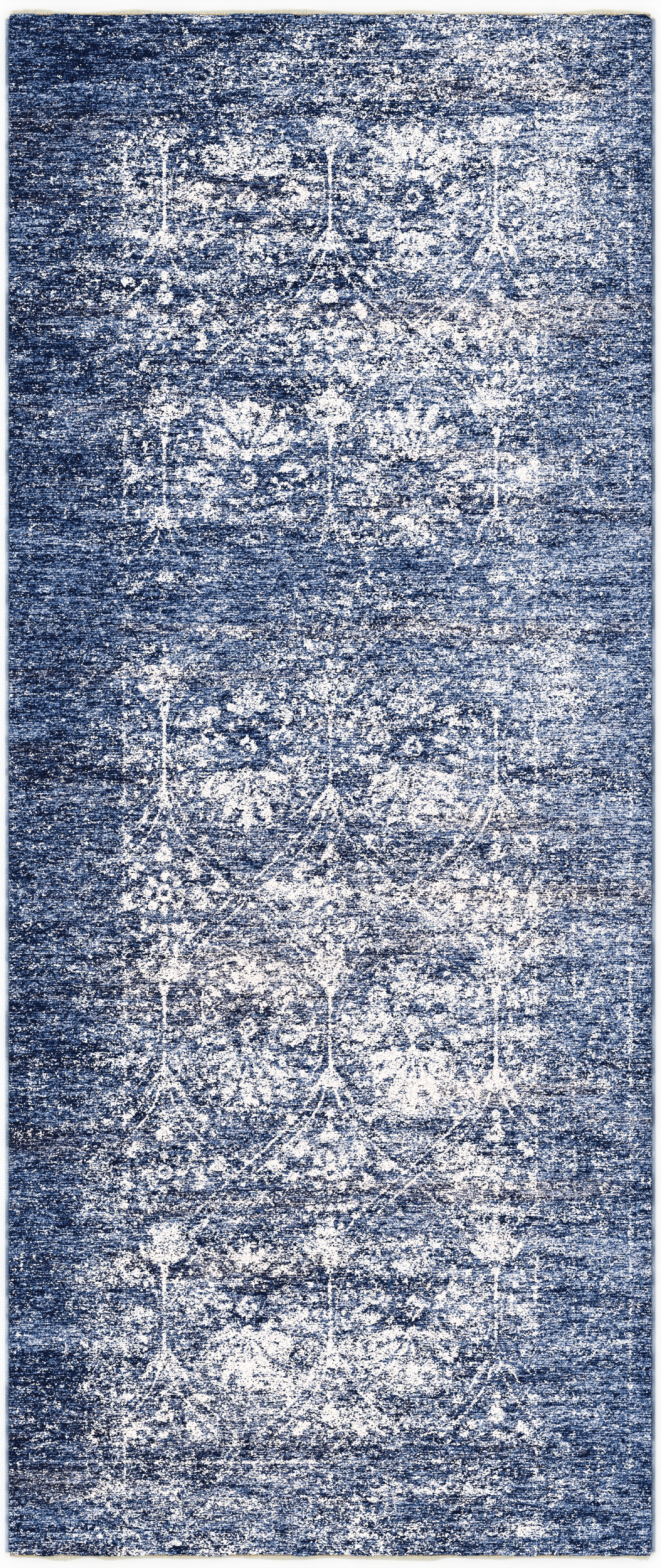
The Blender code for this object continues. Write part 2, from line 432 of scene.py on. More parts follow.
def draw_design(cloth):
    """The layers that the pile's material reads, by attribute name."""
    rng = np.random.default_rng(SEED)
    motifs, dark = field_design(cloth)
    field = inside_field(cloth)
    design = motifs * field + border_design(cloth) * (1.0 - field)
    patches = np.clip(0.60 + 0.45 * cloth.noise(0.05, 0.02, rng), 0.0, 1.0)
    dark = dark * field * patches
    kept = wear(cloth, rng)
    flecks = fleck_share(cloth, rng) * (1.0 - 0.4 * dark)
    share = flecks + (1.0 - flecks) * design * kept * DESIGN_SHARE
    clumps = (
        0.60 * cloth.noise(0.0046, 0.0036, rng)
        + 0.22 * cloth.noise(0.009, 0.006, rng)
        + 0.30 * cloth.noise(0.040, 0.0045, rng)
    )
    return {
        "ivory": share - IVORY_FROM + 0.17 * clumps,
        "share": share,
        "tone": blue_tone(cloth, dark, rng),
        "rust": rust_tint(cloth, rng),
    }


def blue_tone(cloth, dark, rng):
    """How light the blue yarns are, from 0, navy, to 1, pale blue."""
    x = cloth.x
    y = cloth.y
    paler_to_the_right = 0.11 * smoothstep((x + 0.36) / 0.20) + 0.11 * smoothstep((x - 0.02) / 0.28)
    dark_far_left = 0.08 * hump(x, -0.20, 0.25) * smoothstep((y - 0.6) / 0.3)
    dark_near_right = 0.08 * smoothstep((-y - 0.80) / 0.10) * smoothstep((x + 0.05) / 0.2)
    dark_right_edge = 0.05 * smoothstep((x - 0.375) / 0.02)
    pale_bands = (
        0.05 * patch(cloth, 0.15, 0.5, 0.2, 0.15)
        + 0.06 * hump(y, 0.20, 0.14)
        + 0.04 * hump(y, -0.10, 0.25)
    )
    tone = 0.160 + paler_to_the_right + pale_bands - dark_far_left - dark_near_right - dark_right_edge
    streaks = (
        0.60 * cloth.noise(0.034, 0.0042, rng)
        + 0.60 * cloth.noise(0.012, 0.0030, rng)
        + 0.55 * cloth.noise(0.080, 0.024, rng)
        + 0.45 * cloth.noise(0.200, 0.0042, rng)
    )
    return tone + 0.11 * streaks - 0.13 * dark


def rust_tint(cloth, rng):
    """Where the blue ground has faded towards brown and grey, in bands across the rug."""
    x = cloth.x
    y = cloth.y
    bands = cloth.noise(0.30, 0.030, rng) + 0.6 * cloth.noise(0.05, 0.006, rng)
    near_half = 0.34 * smoothstep((0.10 - y) / 0.15) * smoothstep((0.36 - np.abs(x)) / 0.20)
    middle_bands = 0.42 * hump(y, -0.13, 0.10) + 0.18 * hump(y, -0.42, 0.08)
    near_left = 0.45 * hump(y, -0.80, 0.08) * smoothstep((0.14 - x) / 0.20)
    return np.clip(0.5 * (bands - 0.6), 0.0, 1.0) + near_half + middle_bands + near_left


# ---------------------------------------------------------------- meshes


def grid_quads(rows, columns, round_columns=False):
    """Quads over a grid of points held row by row, each row closed on itself if asked."""
    index = np.arange(rows * columns).reshape(rows, columns)
    if round_columns:
        index = np.hstack([index, index[:, :1]])
    corners = [index[:-1, :-1], index[:-1, 1:], index[1:, 1:], index[1:, :-1]]
    return np.stack(corners, axis=-1).reshape(-1, 4)


class Mesh:
    """Gathers points, faces, bake places and values, and makes one piece of them."""

    def __init__(self):
        self.points = []
        self.count = 0
        self.loops = []
        self.sizes = []
        self.places = []
        self.values = {}

    def add_points(self, points, **values):
        """Adds points, with one value each for any named attribute, and says where they start."""
        start = self.count
        points = np.reshape(points, (-1, 3))
        self.points.append(points)
        self.count += len(points)
        for name, value in values.items():
            spread = np.broadcast_to(np.ravel(value), (len(points),))
            self.values.setdefault(name, []).append(spread)
        return start

    def add_faces(self, faces, places):
        """Adds faces of one size, with a place on the bake map for each corner."""
        faces = np.asarray(faces)
        self.loops.append(faces.ravel())
        self.sizes.append(np.full(len(faces), faces.shape[1]))
        self.places.append(np.reshape(places, (-1, 2)))

    def make(self, name, material):
        mesh = bpy.data.meshes.new(name)
        points = np.concatenate(self.points).astype(np.float32)
        loops = np.concatenate(self.loops).astype(np.int32)
        sizes = np.concatenate(self.sizes)
        mesh.vertices.add(len(points))
        mesh.vertices.foreach_set("co", points.ravel())
        mesh.loops.add(len(loops))
        mesh.loops.foreach_set("vertex_index", loops)
        mesh.polygons.add(len(sizes))
        starts = np.concatenate([[0], np.cumsum(sizes)[:-1]]).astype(np.int32)
        mesh.polygons.foreach_set("loop_start", starts)
        mesh.update(calc_edges=True)
        mesh.polygons.foreach_set("use_smooth", np.full(len(sizes), True))
        for attribute, parts in self.values.items():
            layer = mesh.attributes.new(attribute, "FLOAT", "POINT")
            layer.data.foreach_set("value", np.concatenate(parts).astype(np.float32))
        places = np.concatenate(self.places).astype(np.float32)
        mesh.uv_layers.new(name="OFBake").data.foreach_set("uv", places.ravel())
        mesh.materials.append(material)
        piece = bpy.data.objects.new(name, mesh)
        bpy.context.scene.collection.objects.link(piece)
        return piece


def strip_places(count, low, high):
    """Bake places for a row of quads laid side by side in a strip of the map."""
    left = np.arange(count) / count
    right = left + 1.0 / count
    u = np.stack([left, right, right, left], axis=-1)
    v = np.broadcast_to([low, low, high, high], (count, 4))
    return np.stack([u, v], axis=-1)


def cell_places(cells, rings, sides, low=0.0, high=1.0):
    """Bake places for the quads of many short tubes, each in its own cell of a square grid."""
    across = math.ceil(math.sqrt(cells))
    cell, ring_index, side = np.meshgrid(
        np.arange(cells), np.arange(rings), np.arange(sides), indexing="ij"
    )
    margin = 0.08
    room = 1.0 - 2 * margin
    u = np.stack([side, side + 1, side + 1, side], axis=-1) / sides
    v = np.stack([ring_index, ring_index, ring_index + 1, ring_index + 1], axis=-1) / rings
    u = (margin + room * u + (cell % across)[..., None]) / across
    v = (margin + room * v + (cell // across)[..., None]) / across
    return np.stack([u, blend(low, high, v)], axis=-1)


def cap_places(caps, sides, middle, radius):
    """Bake places for end caps, which all share one small circle of the map."""
    return np.broadcast_to(middle + radius * np.stack(circle(sides), axis=-1), (caps, sides, 2))


def add_tubes(mesh, points, low, high, **values):
    """Adds closed tubes from points of shape (tubes, rings, sides, 3)."""
    tubes, rings, sides, _ = points.shape
    start = mesh.add_points(points, **values)
    one = grid_quads(rings, sides, round_columns=True)
    firsts = start + np.arange(tubes) * rings * sides
    quads = (firsts[:, None, None] + one[None]).reshape(-1, 4)
    mesh.add_faces(quads, cell_places(tubes, rings - 1, sides, low, high))
    caps = np.arange(sides)
    roots = firsts[:, None] + caps[::-1]
    tips = firsts[:, None] + (rings - 1) * sides + caps
    mesh.add_faces(np.concatenate([roots, tips]), cap_places(2 * tubes, sides, 0.999, 0.0004))


def add_long_tube(mesh, points, per_cell, **values):
    """Adds one closed tube from points of shape (rings, sides, 3).

    Its bake map is cut into cells that hold per_cell lengths each.
    """
    rings, sides, _ = points.shape
    start = mesh.add_points(points, **values)
    quads = start + grid_quads(rings, sides, round_columns=True)
    places = cell_places(math.ceil((rings - 1) / per_cell), per_cell, sides).reshape(-1, 4, 2)
    mesh.add_faces(quads, places[: len(quads)])
    caps = np.arange(sides)
    both = np.stack([start + caps[::-1], start + (rings - 1) * sides + caps])
    mesh.add_faces(both, cap_places(2, sides, 0.998, 0.0008))


def plied(sides, places, lay, plies, depth):
    """A plied yarn's radius in each direction at each place, as a share of its largest."""
    around = 2 * np.pi * np.arange(sides) / sides
    twist = 2 * np.pi * places / lay
    return 1.0 - depth + depth * np.cos(plies * (around[None, :] - twist[:, None]))


def hair_points(paths, radii, sides):
    """Rings of points round many paths of shape (hairs, rings, 3), with one radius for each ring."""
    tangent = np.gradient(paths, axis=1)
    tangent /= np.linalg.norm(tangent, axis=-1, keepdims=True)
    across = np.cross(tangent, [1.0, 0.0, 0.0])
    across /= np.linalg.norm(across, axis=-1, keepdims=True)
    third = np.cross(tangent, across)
    cosines, sines = circle(sides)
    turn = cosines[:, None] * across[:, :, None] + sines[:, None] * third[:, :, None]
    return paths[:, :, None] + radii[..., None, None] * turn


def add_slab(mesh, xs, ys, top, bottom, drawn_in=0.0):
    """Adds a closed slab between two height grids of shape (rows, columns)."""
    rows = len(ys)
    columns = len(xs)
    x, y = np.meshgrid(xs, ys)
    x = x * (1.0 - np.reshape(drawn_in, (-1, 1)) / xs[-1])
    start = mesh.add_points(points_at(x, y, bottom))
    mesh.add_points(points_at(x, y, top))
    size = rows * columns
    under = start + grid_quads(rows, columns)[:, ::-1]
    over = start + size + grid_quads(rows, columns)
    u = (x - xs[0]) / (xs[-1] - xs[0])
    v = (y - ys[0]) / (ys[-1] - ys[0])
    flat = np.stack([0.005 + 0.48 * u, 0.005 + 0.965 * v], axis=-1).reshape(-1, 2)
    right_half = [0.50, 0.0]
    mesh.add_faces(under, flat[under - start] + right_half)
    mesh.add_faces(over, flat[over - start - size])
    rim = boundary(rows, columns)
    following = np.roll(rim, -1)
    walls = np.stack([rim, following, following + size, rim + size], axis=-1)
    mesh.add_faces(start + walls, strip_places(len(walls), 0.975, 0.995))


def boundary(rows, columns):
    """A grid's edge points in order, anticlockwise seen from above."""
    index = np.arange(rows * columns).reshape(rows, columns)
    return np.concatenate([index[0, :-1], index[:-1, -1], index[-1, :0:-1], index[:0:-1, 0]])


# ---------------------------------------------------------------- materials


def linear(colour):
    """A colour from 0 to 255 as screens show it, as the shader's linear light."""
    values = np.array(colour) / 255.0
    light = np.where(values <= 0.04045, values / 12.92, ((values + 0.055) / 1.055) ** 2.4)
    return (*light.tolist(), 1.0)


class Nodes:
    """Makes one material's nodes."""

    def __init__(self, name):
        self.material = bpy.data.materials.new(name)
        self.material.use_nodes = True
        self.tree = self.material.node_tree
        self.tree.nodes.clear()
        self.object_place = self.add("ShaderNodeTexCoord").outputs["Object"]

    def add(self, kind, **settings):
        node = self.tree.nodes.new(kind)
        for name, value in settings.items():
            setattr(node, name, value)
        return node

    def put(self, socket, value):
        """Sets a socket's value, or links another node's output to it."""
        if isinstance(value, bpy.types.NodeSocket):
            self.tree.links.new(value, socket)
        else:
            socket.default_value = value

    def math(self, operation, *values, clamp=False):
        node = self.add("ShaderNodeMath", operation=operation, use_clamp=clamp)
        for socket, value in zip(node.inputs, values):
            self.put(socket, value)
        return node.outputs[0]

    def sum(self, *terms):
        total = terms[0]
        for term in terms[1:]:
            total = self.math("ADD", total, term)
        return total

    def scaled(self, value, factor, offset=0.0):
        return self.math("MULTIPLY_ADD", value, factor, offset)

    def attribute(self, name):
        return self.add("ShaderNodeAttribute", attribute_name=name).outputs["Fac"]

    def stretched(self, cell, turn=0.0):
        """Object places, turned about the upright axis and divided by a cell's size."""
        node = self.add("ShaderNodeMapping", vector_type="TEXTURE")
        self.put(node.inputs["Vector"], self.object_place)
        node.inputs["Rotation"].default_value = (0.0, 0.0, math.radians(turn))
        node.inputs["Scale"].default_value = cell
        return node.outputs["Vector"]

    def noise(self, cell, detail=1.0, turn=0.0):
        """Noise of about unit spread round 0, with lumps of the cell's size."""
        node = self.add("ShaderNodeTexNoise")
        self.put(node.inputs["Vector"], self.stretched(cell, turn))
        node.inputs["Scale"].default_value = 1.0
        node.inputs["Detail"].default_value = detail
        return self.scaled(node.outputs["Fac"], 7.5, -3.75)

    def tuft_gap(self, cell):
        """0 in the middle of each tuft and about 1 in the gaps between them."""
        node = self.add("ShaderNodeTexVoronoi", feature="F1")
        self.put(node.inputs["Vector"], self.stretched(cell))
        node.inputs["Scale"].default_value = 1.0
        return node.outputs["Distance"]

    def wave(self, cell, axis, distortion=0.0):
        node = self.add("ShaderNodeTexWave", bands_direction=axis)
        self.put(node.inputs["Vector"], self.stretched(cell))
        node.inputs["Scale"].default_value = math.pi / 10.0
        node.inputs["Distortion"].default_value = distortion
        return node.outputs["Fac"]

    def ramp(self, value, *stops):
        """A colour for each value, from (place, colour) pairs."""
        node = self.add("ShaderNodeValToRGB")
        self.put(node.inputs["Fac"], value)
        elements = node.color_ramp.elements
        while len(elements) < len(stops):
            elements.new(0.5)
        for element, (place, colour) in zip(elements, stops):
            element.position = place
            element.color = linear(colour)
        return node.outputs["Color"]

    def mix(self, share, first, second):
        node = self.add("ShaderNodeMix", data_type="RGBA")
        share_socket, first_socket, second_socket = (node.inputs[index] for index in (0, 6, 7))
        self.put(share_socket, share)
        self.put(first_socket, first)
        self.put(second_socket, second)
        return node.outputs[2]

    def finish(self, colour, roughness, height, depth, sheen=0.0, specular=0.3):
        """Joins colour, roughness and relief of a depth in metres into the surface."""
        bump = self.add("ShaderNodeBump")
        self.put(bump.inputs["Height"], height)
        bump.inputs["Distance"].default_value = depth
        surface = self.add("ShaderNodeBsdfPrincipled")
        self.put(surface.inputs["Base Color"], colour)
        self.put(surface.inputs["Roughness"], roughness)
        self.put(surface.inputs["Normal"], bump.outputs["Normal"])
        surface.inputs["Specular IOR Level"].default_value = specular
        surface.inputs["Sheen Weight"].default_value = sheen
        surface.inputs["Sheen Roughness"].default_value = 0.5
        output = self.add("ShaderNodeOutputMaterial")
        self.put(output.inputs["Surface"], surface.outputs["BSDF"])
        return self.material


def pile_material():
    """Cut pile of navy to pale blue yarns, with ivory ones that show through in worn clumps."""
    n = Nodes("cut_pile_yarns")
    fine = n.noise((0.0017, 0.0013, 0.003))
    crumbs = n.noise((0.0027, 0.0019, 0.004))
    dashes = n.noise((0.0058, 0.0015, 0.004))
    threads = n.noise((0.0170, 0.0017, 0.004))
    rows = n.wave((1.0, 0.0029, 1.0), "Y", 1.4)
    speckle = n.noise((0.0018, 0.0011, 0.003), turn=30.0)
    mottle = n.noise((0.0034, 0.0022, 0.004), turn=15.0)
    specks = n.noise((0.0020, 0.0014, 0.003))
    tint = n.noise((0.009, 0.0028, 0.006))
    gap = n.tuft_gap((0.0016, 0.0015, 0.0016))
    margin = n.sum(
        n.attribute("ivory"), n.scaled(crumbs, 0.25), n.scaled(fine, 0.16), n.scaled(threads, 0.05)
    )
    ivory = n.math("MULTIPLY_ADD", margin, 6.5, 0.5, clamp=True)
    nearness = n.math("ABSOLUTE", n.scaled(margin, 12.0, 1.4))
    shadow = n.math("SUBTRACT", 1.0, nearness, clamp=True)
    blue_light = n.sum(
        n.attribute("tone"),
        n.scaled(speckle, 0.27),
        n.scaled(mottle, 0.20),
        n.scaled(dashes, 0.14),
        n.scaled(threads, 0.19),
        n.scaled(rows, 0.21, -0.105),
    )
    blue_light = n.math("MINIMUM", n.math("MULTIPLY_ADD", shadow, -0.26, blue_light), 0.93)
    dull = n.math("MAXIMUM", n.scaled(specks, 1.0, -0.1), 0.0)
    ivory_light = n.scaled(dull, -0.27, 1.17)
    difference = n.math("SUBTRACT", ivory_light, blue_light)
    light = n.math("MULTIPLY_ADD", difference, ivory, blue_light, clamp=True)
    # Painted shade: the colour is darker in the gaps between tufts (less over ivory), with a slight
    # overall lift.
    depth = n.math("MULTIPLY", n.math("POWER", gap, 3.0), n.scaled(ivory, -0.20, 0.46))
    light = n.math("SUBTRACT", light, n.scaled(depth, 1.0, -0.022))
    blue = n.ramp(
        light,
        (0.00, (3, 13, 42)),
        (0.10, (18, 40, 84)),
        (0.22, (36, 66, 114)),
        (0.36, (62, 95, 146)),
        (0.50, (95, 125, 169)),
        (0.64, (129, 152, 188)),
        (0.78, (180, 191, 211)),
        (0.90, (229, 228, 231)),
        (1.00, (252, 250, 246)),
    )
    grey = n.ramp(
        light,
        (0.00, (12, 16, 34)),
        (0.10, (40, 44, 67)),
        (0.22, (74, 77, 101)),
        (0.36, (108, 108, 128)),
        (0.50, (142, 138, 152)),
        (0.64, (176, 168, 174)),
        (0.78, (211, 202, 203)),
        (0.90, (239, 230, 227)),
        (1.00, (252, 247, 242)),
    )
    greyness = n.sum(
        n.scaled(n.attribute("share"), 0.60, -0.20),
        n.scaled(tint, 0.20),
        n.scaled(n.attribute("rust"), 0.5),
    )
    colour = n.mix(n.math("ADD", greyness, 0.0, clamp=True), blue, grey)
    roughness = n.math("MULTIPLY_ADD", speckle, 0.03, 0.88, clamp=True)
    height = n.sum(n.scaled(gap, -1.0, 1.0), n.scaled(fine, 0.20), n.scaled(dashes, 0.12))
    return n.finish(colour, roughness, height, 0.0006, sheen=0.02, specular=0.08)


def ground_material():
    """Plain-woven jute and cotton: pale warps over browner wefts."""
    n = Nodes("jute_cotton_weave")
    warp = n.wave((0.0024, 1.0, 1.0), "X")
    weft = n.wave((1.0, 0.0020, 1.0), "Y", 0.4)
    fibre = n.noise((0.0008, 0.004, 0.002), 3.0)
    blotch = n.noise((0.03, 0.02, 0.02))
    weave = n.math("MULTIPLY", warp, weft)
    light = n.sum(n.scaled(weave, 0.45, 0.30), n.scaled(fibre, 0.10), n.scaled(blotch, 0.04))
    colour = n.ramp(
        light,
        (0.0, (176, 150, 112)),
        (0.4, (230, 210, 172)),
        (0.7, (246, 236, 210)),
        (1.0, (254, 250, 236)),
    )
    roughness = n.math("MULTIPLY_ADD", fibre, 0.03, 0.86, clamp=True)
    return n.finish(colour, roughness, n.sum(weave, n.scaled(fibre, 0.15)), 0.0003, sheen=0.05)


def back_material():
    """A thin latex coat that the ribs of jute weft show through."""
    n = Nodes("latex_over_jute")
    rib = n.wave((1.0, 0.0030, 1.0), "Y", 0.6)
    warp = n.wave((0.0048, 1.0, 1.0), "X", 1.0)
    fibre = n.noise((0.006, 0.0009, 0.002), 3.0)
    thin = n.noise((0.012, 0.006, 0.01), 2.0)
    pits = n.math("MAXIMUM", n.scaled(n.noise((0.0016, 0.0016, 0.0016)), 1.0, -1.2), 0.0)
    light = n.sum(
        n.scaled(rib, 0.30, 0.32), n.scaled(warp, 0.10), n.scaled(fibre, 0.07), n.scaled(thin, 0.05)
    )
    light = n.math("SUBTRACT", light, n.scaled(pits, 0.12))
    colour = n.ramp(
        light,
        (0.0, (96, 78, 56)),
        (0.35, (156, 136, 104)),
        (0.65, (196, 182, 152)),
        (1.0, (226, 217, 196)),
    )
    roughness = n.math("MULTIPLY_ADD", thin, 0.07, 0.66, clamp=True)
    height = n.sum(rib, n.scaled(fibre, 0.15), n.scaled(pits, -0.4))
    return n.finish(colour, roughness, height, 0.0003, specular=0.4)


def binding_material():
    """Space-dyed wrapping yarn that runs from pale to mid blue along the edge, with painted shade in the
    creases between its turns and a painted highlight on the outer top of each turn.
    """
    n = Nodes("space_dyed_binding_yarn")
    fibre = n.noise((0.0030, 0.0004, 0.0030), 2.0)
    speckle = n.noise((0.0012, 0.0010, 0.0012))
    light = n.sum(n.attribute("shade"), n.scaled(fibre, 0.07), n.scaled(speckle, 0.07))
    colour = n.ramp(
        light,
        (0.00, (46, 66, 100)),
        (0.25, (84, 108, 142)),
        (0.50, (130, 153, 182)),
        (0.75, (178, 197, 220)),
        (1.00, (222, 233, 244)),
    )
    roughness = n.math("MULTIPLY_ADD", fibre, 0.05, 0.72, clamp=True)
    return n.finish(colour, roughness, n.sum(fibre, speckle), 0.00012, sheen=0.08)


def cotton_material(name, dark, light, fibre_cell):
    """Undyed cotton yarn, with fine fibres and slow changes of colour."""
    n = Nodes(name)
    fibre = n.noise(fibre_cell, 2.0)
    blotch = n.noise((0.018, 0.018, 0.018), 2.0)
    value = n.sum(n.scaled(fibre, 0.16, 0.55), n.scaled(blotch, 0.16))
    middle = tuple((a + b) / 2 for a, b in zip(dark, light))
    colour = n.ramp(value, (0.0, dark), (0.45, middle), (1.0, light))
    roughness = n.math("MULTIPLY_ADD", fibre, 0.04, 0.80, clamp=True)
    return n.finish(colour, roughness, fibre, 0.0001, sheen=0.08)


def floor_material():
    n = Nodes("pale_floor")
    cloud = n.noise((0.9, 0.9, 0.9), 2.0)
    colour = n.ramp(n.scaled(cloud, 0.05, 0.5), (0.0, (239, 239, 239)), (1.0, (241, 241, 241)))
    roughness = n.math("MULTIPLY_ADD", cloud, 0.01, 0.9, clamp=True)
    return n.finish(colour, roughness, cloud, 0.00001, specular=0.1)


# ---------------------------------------------------------------- pieces


def spread_evenly(low, high, pitch):
    return np.linspace(low, high, round((high - low) / pitch) + 1)


def outward(x, y, half_width, half_length, radius):
    """Unit directions that point out of a rounded rectangle, for points near its edge."""
    dx = x - np.clip(x, -(half_width - radius), half_width - radius)
    dy = y - np.clip(y, -(half_length - radius), half_length - radius)
    length = np.maximum(np.hypot(dx, dy), 1e-9)
    return dx / length, dy / length


def cut_pile():
    """The pile: a closed sheet with tufts in relief, and free tufts along its edges."""
    low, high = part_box("pile_field")
    side_inset = 1.1 * MM
    end_inset = 2.2 * MM
    pitch = 2.0 * MM
    cloth = Cloth(
        spread_evenly(low.x + side_inset, high.x - side_inset, pitch),
        spread_evenly(low.y + end_inset, high.y - end_inset, pitch),
    )
    layers = draw_design(cloth)
    rng = np.random.default_rng(SEED + 1)
    rows, columns = cloth.shape
    half_width = high.x - side_inset
    half_length = high.y - end_inset
    past = np.maximum(np.abs(cloth.ys) - (half_length - PILE_CORNER), 0.0)
    drawn_in = PILE_CORNER - np.sqrt(np.maximum(PILE_CORNER**2 - past**2, 0.0))
    x = cloth.x * (1.0 - drawn_in / half_width)[:, None]
    y = cloth.y + np.zeros(cloth.shape)
    ragged = 0.7 * MM * run_noise(cloth.xs, 0.020, rng) + 0.35 * MM * run_noise(cloth.xs, 0.004, rng)
    ragged = np.clip(ragged, -1.0 * MM, 1.0 * MM)
    y = y + ragged * hump(np.abs(cloth.y), half_length, 0.012)
    tufts = rng.standard_normal(cloth.shape) + 0.8 * cloth.noise(0.008, 0.004, rng)
    worn = smoothstep(layers["ivory"] / 0.3 + 0.5)
    z = high.z - 0.45 * MM + np.clip(0.13 * MM * tufts, -0.4 * MM, 0.4 * MM) - 0.25 * MM * worn
    mesh = Mesh()
    flat_values = {name: layer.ravel() for name, layer in layers.items()}
    mesh.add_points(points_at(x, y, z), **flat_values)
    quads = grid_quads(rows, columns)
    mesh.add_faces(quads, pile_places(quads, rows, columns))
    add_pile_walls(mesh, cloth.shape, x.ravel(), y.ravel(), low.z, high.z, flat_values, rng)
    add_edge_tufts(mesh, cloth, layers, ragged, low, high, rng)
    return mesh.make("cut_pile", pile_material())


def pile_places(quads, rows, columns):
    """The pile's top on the bake map, as two halves side by side."""
    row, column = np.divmod(quads, columns)
    half = row.min(axis=1, keepdims=True) >= rows // 2
    along = (row - half * (rows // 2)) / (rows - rows // 2)
    u = 0.5 * half + 0.004 + 0.492 * column / (columns - 1)
    return np.stack([u, 0.004 + 0.916 * along], axis=-1)


def add_pile_walls(mesh, shape, x, y, bottom, top, values, rng):
    """Rounds the pile's edge over, brings it down in scallops, and closes it underneath."""
    rim = boundary(*shape)
    x = x[rim]
    y = y[rim]
    out_x, out_y = outward(x, y, x.max(), y.max(), PILE_CORNER)
    count = len(rim)
    scallop = 0.22 * MM * np.where(np.arange(count) % 2, 1.0, -1.0)
    scallop = scallop + 0.12 * MM * rng.standard_normal(count)
    rings = [rim]
    overhang = 2.3 * MM
    profile = ((0.60, 1.1, 0.5), (1.00, 2.6, 1.0), (0.95, 4.6, 1.0), (0.75, None, 0.4))
    edge_values = {name: layer[rim] for name, layer in values.items()}
    for outset, drop, share in profile:
        step = outset * overhang + share * scallop
        z = bottom if drop is None else top - drop * MM
        start = mesh.add_points(points_at(x + out_x * step, y + out_y * step, z), **edge_values)
        rings.append(start + np.arange(count))
    strip = 0.012
    first_strip = 0.925
    for number, (upper, lower) in enumerate(zip(rings, rings[1:])):
        walls = np.stack([lower, np.roll(lower, -1), np.roll(upper, -1), upper], axis=-1)
        place = first_strip + number * strip
        mesh.add_faces(walls, strip_places(count, place, place + strip * 0.9))
    close_underneath(mesh, rings[-1], *shape)


def close_underneath(mesh, rim, rows, columns):
    """Closes the pile's flat underside with strips from edge to edge."""
    first = rim[:columns]
    right = rim[columns - 1 : columns + rows - 1]
    last = rim[columns + rows - 2 : 2 * columns + rows - 2]
    left = np.append(rim[2 * columns + rows - 3 :], rim[0])[::-1]
    strips = np.stack([left[1:-2], left[2:-1], right[2:-1], right[1:-2]], axis=-1)
    mesh.add_faces(strips, strip_places(len(strips), 0.975, 0.980))
    ends = (
        np.concatenate([first[::-1], left[1:2], right[1:2]]),
        np.concatenate([last[::-1], right[-2:-1], left[-2:-1]]),
    )
    for number, end in enumerate(ends):
        middle = np.array([0.2 + 0.3 * number, 0.988])
        mesh.add_faces(end[None], cap_places(1, len(end), middle, 0.004))


def add_edge_tufts(mesh, cloth, layers, ragged, low, high, rng):
    """Tufts that lean out of the pile's four edges."""
    pitch = 1.4 * MM
    inner_x = cloth.xs[-1] + 0.1 * MM
    inner_y = cloth.ys[-1] + 0.5 * MM
    along_x = spread_evenly(-inner_x + 5.0 * MM, inner_x - 5.0 * MM, pitch)
    along_y = spread_evenly(-inner_y + 5.0 * MM, inner_y - 5.0 * MM, pitch)
    x = np.concatenate([along_x, along_x, np.full(len(along_y), inner_x), np.full(len(along_y), -inner_x)])
    y = np.concatenate([np.full(len(along_x), inner_y), np.full(len(along_x), -inner_y), along_y, along_y])
    count = len(x)
    out_x, out_y = outward(x, y, inner_x, inner_y, 1.0 * MM)
    x = x + 0.4 * MM * rng.standard_normal(count) * np.abs(out_y)
    y = y + 0.4 * MM * rng.standard_normal(count) * np.abs(out_x)
    lean = 0.5 * MM + 0.45 * MM * np.abs(rng.standard_normal(count))
    y = y + np.interp(x, cloth.xs, ragged) * np.abs(out_y)
    height = rng.uniform(0.80, 1.0, count)
    rise = (high.z - low.z) * height
    shares = np.array([0.0, 0.45, 0.82, 1.0])
    outset = np.array([0.2, 0.6, 0.9, 1.15])
    paths = points_at(
        x[:, None] + out_x[:, None] * lean[:, None] * outset,
        y[:, None] + out_y[:, None] * lean[:, None] * outset,
        low.z + 0.2 * MM + rise[:, None] * shares * 0.97,
    )
    radii = np.array([0.55, 0.75, 0.65, 0.22]) * MM * rng.uniform(0.85, 1.15, count)[:, None]
    points = hair_points(paths, radii, sides=5)
    each = points.shape[1] * points.shape[2]
    values = {name: np.repeat(cloth.sample(layer, x, y), each) for name, layer in layers.items()}
    values["tone"] = values["tone"] + np.repeat(0.10 * rng.standard_normal(count), each)
    add_tubes(mesh, points, 0.9905, 0.9985, **values)


def woven_ground():
    """The foundation sheet, woven in relief where its two ends show."""
    low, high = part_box("woven_foundation")
    xs = spread_evenly(low.x, high.x, 1.2 * MM)
    shown = spread_evenly(0.0, 6.0 * MM, 0.6 * MM)
    middle = spread_evenly(low.y + 30.0 * MM, high.y - 30.0 * MM, 30.0 * MM)
    hidden = 0.7 * MM
    ys = np.concatenate([low.y + hidden + shown, middle, high.y - hidden - shown[::-1]])
    over = np.where(np.arange(len(xs)) % 2, 1.0, -1.0)[None, :]
    under = np.where(np.arange(len(ys)) % 2, 1.0, -1.0)[:, None]
    relief = 0.18 * MM * over * under
    mesh = Mesh()
    bound_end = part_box("right_serging")[1].y
    past = np.abs(ys) - bound_end
    drawn_in = 3.4 * MM * smoothstep(past / (1.5 * MM) + 1.0)
    drawn_in = drawn_in + 3.5 * MM * np.maximum(past / (high.y - bound_end), 0.0) ** 2
    add_slab(mesh, xs, ys, high.z - 0.2 * MM + relief, low.z + 0.2 * MM + relief, drawn_in)
    return mesh.make("woven_ground", ground_material())


def ribbed_back():
    """The latex coat, pressed into the ribs of the weft on its underside."""
    low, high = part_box("latex_back_coat")
    rng = np.random.default_rng(SEED + 2)
    xs = spread_evenly(low.x, high.x, 40.0 * MM)
    ys = spread_evenly(low.y, high.y, 0.75 * MM)
    drift = 0.5 * MM * Cloth(xs, ys).noise(0.10, 0.05, rng)
    rib = 0.5 - 0.5 * np.cos(2 * np.pi * (ys[:, None] + drift) / (3.0 * MM))
    mesh = Mesh()
    add_slab(mesh, xs, ys, np.full(rib.shape, high.z), low.z + 0.3 * MM * rib)
    return mesh.make("ribbed_back", back_material())


